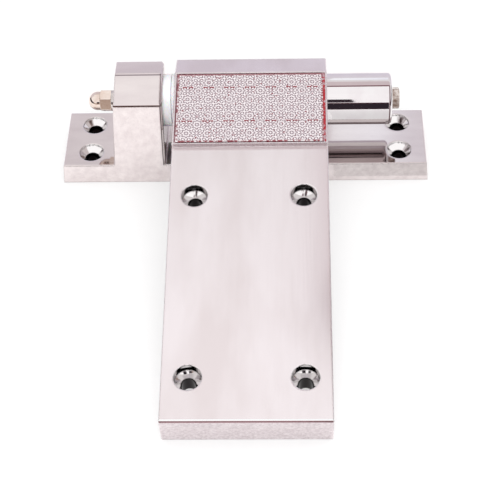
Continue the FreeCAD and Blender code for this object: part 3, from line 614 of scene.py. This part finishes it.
def makePatternPlate(shape):
    width = plateHigh.x - plateLow.x
    length = plateHigh.y - plateLow.y
    halfWidth = width / shape["columns"] / 2
    halfLength = length / shape["rows"] / 2
    bpy.ops.object.select_all(action="DESELECT")
    bpy.ops.mesh.primitive_grid_add(x_subdivisions=shape["steps"], y_subdivisions=shape["steps"], size=1)
    plate = bpy.context.object
    plate.name = "embossedPlate"
    for vertex in plate.data.vertices:
        x = (vertex.co.x + 0.5) * halfWidth
        y = (vertex.co.y + 0.5) * halfLength
        vertex.co = (x, y, reliefAt(x, y, halfWidth, halfLength, shape) * shape["depth"])

    # a quarter motif is mirrored into a whole one, and that is repeated over the plate
    mirror = plate.modifiers.new("wholeMotif", "MIRROR")
    mirror.use_axis = (True, True, False)
    mirror.merge_threshold = shape["weld"]
    for name, count, step in (
        ("columns", shape["columns"], (halfWidth * 2, 0, 0)),
        ("rows", shape["rows"], (0, halfLength * 2, 0)),
    ):
        array = plate.modifiers.new(name, "ARRAY")
        array.count = count
        array.use_relative_offset = False
        array.use_constant_offset = True
        array.constant_offset_displace = step
        array.use_merge_vertices = True
        array.merge_threshold = shape["weld"]
    for name in ("wholeMotif", "columns", "rows"):
        bpy.ops.object.modifier_apply(modifier=name)

    # a plain rim, then walls down to the bed and a flat back
    middle = Vector((width / 2 - halfWidth, length / 2 - halfLength))
    foot = shape["rimFoot"]
    for vertex in plate.data.vertices:
        inset = min(width / 2 - abs(vertex.co.x - middle.x), length / 2 - abs(vertex.co.y - middle.y))
        if inset < shape["rim"]:
            vertex.co.z = shape["depth"] * (foot + (1 - foot) * inset / shape["rim"])
    thickness = plateHigh.z - plateLow.z
    bpy.ops.object.mode_set(mode="EDIT")
    bpy.ops.mesh.select_mode(type="EDGE")
    bpy.ops.mesh.select_all(action="DESELECT")
    bpy.ops.mesh.select_non_manifold()
    bpy.ops.mesh.extrude_region_move(TRANSFORM_OT_translate={"value": (0, 0, -thickness)})
    bpy.ops.mesh.edge_face_add()
    bpy.ops.object.mode_set(mode="OBJECT")
    for vertex in plate.data.vertices:
        if vertex.co.z < 0:
            vertex.co.z = shape["depth"] - thickness
    bpy.ops.object.shade_smooth_by_angle(angle=math.radians(shape["smoothDegrees"]))

    corner = Vector((plateLow.x + halfWidth, plateLow.y + halfLength, plateHigh.z - shape["depth"]))
    plate.data.transform(leafFrame @ Matrix.Translation(corner))
    plate.data.materials.append(materials["embossedFoil"])
    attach(plate, "leaf")
    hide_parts("pattern_plate")
    return plate


# the return spring, of round wire
coilShape = {
    "turns": 7,
    "stepsPerTurn": 40,
    "wireSides": 12,
    "weld": 0.01 * mm,
    "smoothDegrees": 40,
}


def makeReturnCoil(shape):
    low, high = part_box("return_spring")
    spread = [math.hypot(vertex.co.y - pinPlace.y, vertex.co.z - pinPlace.z)
              for vertex in nodes["return_spring"].data.vertices]
    wire = max(spread) - min(spread)
    bpy.ops.object.select_all(action="DESELECT")
    bpy.ops.mesh.primitive_circle_add(vertices=shape["wireSides"], radius=wire / 2)
    coil = bpy.context.object
    coil.name = "returnCoil"
    coil.data.transform(Matrix.Translation((0, (max(spread) + min(spread)) / 2, 0)))
    twist = coil.modifiers.new("twist", "SCREW")
    twist.axis = "X"
    twist.iterations = shape["turns"]
    twist.screw_offset = (high[0] - low[0] - wire) / shape["turns"]
    twist.steps = shape["stepsPerTurn"]
    twist.render_steps = shape["stepsPerTurn"]
    bpy.ops.object.modifier_apply(modifier="twist")
    bpy.ops.object.mode_set(mode="EDIT")
    bpy.ops.mesh.select_all(action="SELECT")
    bpy.ops.mesh.remove_doubles(threshold=shape["weld"])
    bpy.ops.mesh.fill_holes(sides=0)
    bpy.ops.mesh.normals_make_consistent(inside=False)
    bpy.ops.object.mode_set(mode="OBJECT")
    bpy.ops.object.shade_smooth_by_angle(angle=math.radians(shape["smoothDegrees"]))
    coil.data.transform(Matrix.Translation((low[0] + wire / 2, pinPlace.y, pinPlace.z)))
    coil.data.materials.append(materials["drawnSpringSteel"])
    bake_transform(coil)
    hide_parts("return_spring")
    return coil


returnCoil = makeReturnCoil(coilShape)
print("spring wound:", len(returnCoil.data.polygons), "faces")
patternPlate = makePatternPlate(plateShape)
print("plate embossed:", len(patternPlate.data.polygons), "faces")

# the studio's cards, which only the polished faces see: flat in one direction and shaded along another
darkCloth = [(0.0, linear("2e272d")), (0.85, linear("2e272d")), (1.0, linear("6b4248"))]
studioCards = {
    "leafPanel": {
        "low": (-0.6, -0.35, 0.667), "high": (0.067, 0.34, 0.667), "along": "Y",
        "tones": [(0.55, grey(0.99)), (0.8, grey(0.9)), (1.0, grey(0.85))],
    },
    "barrelPanel": {
        "low": (0.067, -0.35, 0.667), "high": (0.6, 0.35, 0.667), "along": "Y",
        "tones": [(0.54, grey(0.98)), (0.56, linear("6a3a42")),
                  (0.62, linear("6a3a42")), (0.64, linear("cfc2c4"))],
    },
    "cameraBody": {
        "low": (0.066, -0.6, 0.31), "high": (0.1, -0.6, 0.5), "along": "Z",
        "tones": [(0.0, linear("3a3038")), (1.0, linear("241c20"))],
    },
    "backCard": {
        "low": (-5.0, 1.5, 0.0), "high": (5.0, 1.5, 3.2), "along": "Z",
        "tones": [(0.0, linear("d6d3dd")), (0.2, linear("dcd8e1")),
                  (0.55, linear("dfddde")), (1.0, grey(0.8))],
    },
    "rightBackCard": {
        "low": (0.11, 1.49, 1.15), "high": (0.6, 1.49, 1.9), "along": "X",
        "tones": [(0.0, linear("f8fcff")), (0.2, linear("f4f8ff")),
                  (0.36, linear("e0dfe6")), (1.0, linear("d2d0d8"))],
    },
    "nutPanel": {
        "low": (-0.6, 0.2, 0.665), "high": (-0.12, 0.42, 0.665), "along": "Y",
        "tones": [(0.0, grey(1.0)), (1.0, grey(1.0))],
    },
    "nutCard": {
        "low": (-0.5, -0.4, 0.0), "high": (-0.12, -0.4, 0.1), "along": "Z",
        "tones": [(0.0, linear("b8a89e")), (1.0, linear("a08a80"))],
    },
    # the table to the right, with a painted shadow: darker towards the flange
    "rightTable": {
        "low": (0.06, -0.3, 0.0003), "high": (0.6, -0.03, 0.0003), "along": "Y",
        "tones": [(0.0, grey(0.92)), (0.6, grey(0.8)), (1.0, grey(0.72))],
    },
    "frontLeftCard": {
        "low": (-0.24, -0.62, 0.0), "high": (-0.09, -0.62, 0.34), "along": "Z", "tones": darkCloth,
    },
    "frontRug": {
        "low": (0.05, -0.62, 0.0003), "high": (0.22, -0.34, 0.0003), "along": "Y",
        "tones": [(0.0, linear("2e272d")), (0.7, linear("3a2c30")), (1.0, linear("7a6464"))],
    },
    "frontRightCard": {
        "low": (0.05, -0.62, 0.0), "high": (0.22, -0.62, 0.3), "along": "Z", "tones": darkCloth,
    },
    "leftCard": {
        "low": (-0.62, -0.62, 0.0), "high": (-0.62, 0.3, 0.18), "along": "Z", "tones": darkCloth,
    },
    "rightCard": {
        "low": (0.62, -0.62, 0.0), "high": (0.62, 0.3, 0.18), "along": "Z", "tones": darkCloth,
    },
}

# what steel keeps of the light at each bounce after the first, so that narrow gaps between pieces go dark
bounceShare = 0.68


def lightLeft(tree):
    path = addNode(tree, "LightPath")
    more = addNode(tree, "Math", {0: path.outputs["Glossy Depth"], 1: 1.0}, operation="SUBTRACT")
    extra = addNode(tree, "Math", {0: more.outputs["Value"], 1: 0.0}, operation="MAXIMUM")
    left = addNode(tree, "Math", {0: bounceShare, 1: extra.outputs["Value"]}, operation="POWER")
    return left.outputs["Value"]


def seenDirectly(tree):
    # 1 for what the camera sees, itself or in metal, and 0 for the light that falls on things
    path = addNode(tree, "LightPath")
    mirrored = addNode(tree, "Math", {
        0: path.outputs["Is Glossy Ray"], 1: path.outputs["Is Transmission Ray"]}, operation="MAXIMUM")
    seen = addNode(tree, "Math", {
        0: path.outputs["Is Camera Ray"], 1: mirrored.outputs["Value"]}, operation="MAXIMUM")
    return seen.outputs["Value"]


def makeCard(name, card):
    bpy.ops.object.select_all(action="DESELECT")
    bpy.ops.mesh.primitive_plane_add(size=2)
    made = bpy.context.object
    made.name = name
    low = Vector(card["low"])
    high = Vector(card["high"])
    first, second = [axis for axis in range(3) if high[axis] > low[axis]]
    for vertex in made.data.vertices:
        place = low.copy()
        place[first] = high[first] if vertex.co.x > 0 else low[first]
        place[second] = high[second] if vertex.co.y > 0 else low[second]
        vertex.co = place
    material, tree = startMaterial(name + "Cloth")[:2]
    coordinates = addNode(tree, "TexCoord")
    parts = addNode(tree, "SeparateXYZ", {"Vector": coordinates.outputs["Generated"]})
    tone = addNode(tree, "ValToRGB", {"Fac": parts.outputs[card["along"]]}, card["tones"])
    glow = addNode(tree, "Emission", {"Color": tone.outputs["Color"], "Strength": lightLeft(tree)})
    tree.links.new(glow.outputs["Emission"], tree.nodes["Material Output"].inputs["Surface"])
    made.data.materials.append(material)
    made.visible_camera = False
    made.visible_diffuse = False
    made.visible_shadow = False
    return made


# the floor: white to the camera and in metal, with the object's shadow, and pale grey to the light
floorLook = {
    "size": 8.0,
    "drop": 0.2 * mm,
    "colour": 0.8,
    "rough": 0.8,
    "whiteGlow": 0.45,
    "whiteMatt": 0.56,
}


def makeFloor(look):
    bpy.ops.object.select_all(action="DESELECT")
    bpy.ops.mesh.primitive_plane_add(size=look["size"], location=(0, 0, -look["drop"]))
    floor = bpy.context.object
    floor.name = "studioFloor"
    material, tree, shader = startMaterial("whiteFloor")
    shader.inputs["Base Color"].default_value = grey(look["colour"])
    shader.inputs["Roughness"].default_value = look["rough"]
    glow = addNode(tree, "Emission", {"Color": grey(1.0), "Strength": look["whiteGlow"]})
    matt = addNode(tree, "BsdfDiffuse", {"Color": grey(look["whiteMatt"])})
    white = addNode(tree, "AddShader", {0: glow.outputs["Emission"], 1: matt.outputs["BSDF"]})
    fading = addNode(tree, "MixShader", {0: lightLeft(tree), 2: white.outputs["Shader"]})
    mixed = addNode(tree, "MixShader", {
        0: seenDirectly(tree), 1: shader.outputs["BSDF"], 2: fading.outputs["Shader"]})
    tree.links.new(mixed.outputs["Shader"], tree.nodes["Material Output"].inputs["Surface"])
    floor.data.materials.append(material)
    return floor


# the room: white to the camera and in metal, and a plain level of light on the rest
roomLook = {
    "light": 0.9,
    "white": 1.0,
}


def makeRoom(look):
    world = bpy.data.worlds.new("studioRoom")
    bpy.context.scene.world = world
    world.use_nodes = True
    tree = world.node_tree
    room = addNode(tree, "Mix", {
        "Factor": seenDirectly(tree), 6: grey(look["light"]), 7: grey(look["white"])}, data_type="RGBA")
    background = tree.nodes["Background"]
    tree.links.new(room.outputs[2], background.inputs["Color"])
    tree.links.new(lightLeft(tree), background.inputs["Strength"])
    return world


studioLights = {
    "topLight": {"place": (0.2, -0.1, 1.6), "target": (0, -0.08, 0), "size": 1.2, "power": 4},
    "frontFill": {"place": (0.1, -1.4, 0.7), "target": (0, -0.05, 0.04), "size": 1.2, "power": 10},
}


def makeLight(name, lamp):
    data = bpy.data.lights.new(name, "AREA")
    data.shape = "SQUARE"
    data.size = lamp["size"]
    data.energy = lamp["power"]
    light = bpy.data.objects.new(name, data)
    bpy.context.scene.collection.objects.link(light)
    light.location = lamp["place"]
    beam = Vector(lamp["target"]) - Vector(lamp["place"])
    light.rotation_euler = beam.to_track_quat("-Z", "Y").to_euler()
    light.visible_glossy = False
    return light


# the photograph's camera, from a fit to the corners of the flange and the leaf
cameraSettings = {
    "place": (33.354 * mm, -725.26 * mm, 695.775 * mm),
    "turnDegrees": (42.404, 1.564, 0.911),
    "lens": 104.568,
    "sensor": 36.0,
}


def makeCamera(settings):
    data = bpy.data.cameras.new("photoCamera")
    data.lens = settings["lens"]
    data.sensor_width = settings["sensor"]
    camera = bpy.data.objects.new("photoCamera", data)
    bpy.context.scene.collection.objects.link(camera)
    camera.location = settings["place"]
    camera.rotation_euler = Euler([math.radians(value) for value in settings["turnDegrees"]])
    bpy.context.scene.camera = camera
    return camera


makeFloor(floorLook)
for name, card in studioCards.items():
    makeCard(name, card)
makeRoom(roomLook)
for name, lamp in studioLights.items():
    makeLight(name, lamp)
makeCamera(cameraSettings)
bpy.context.scene.view_settings.view_transform = "Standard"
print("studio and camera made")
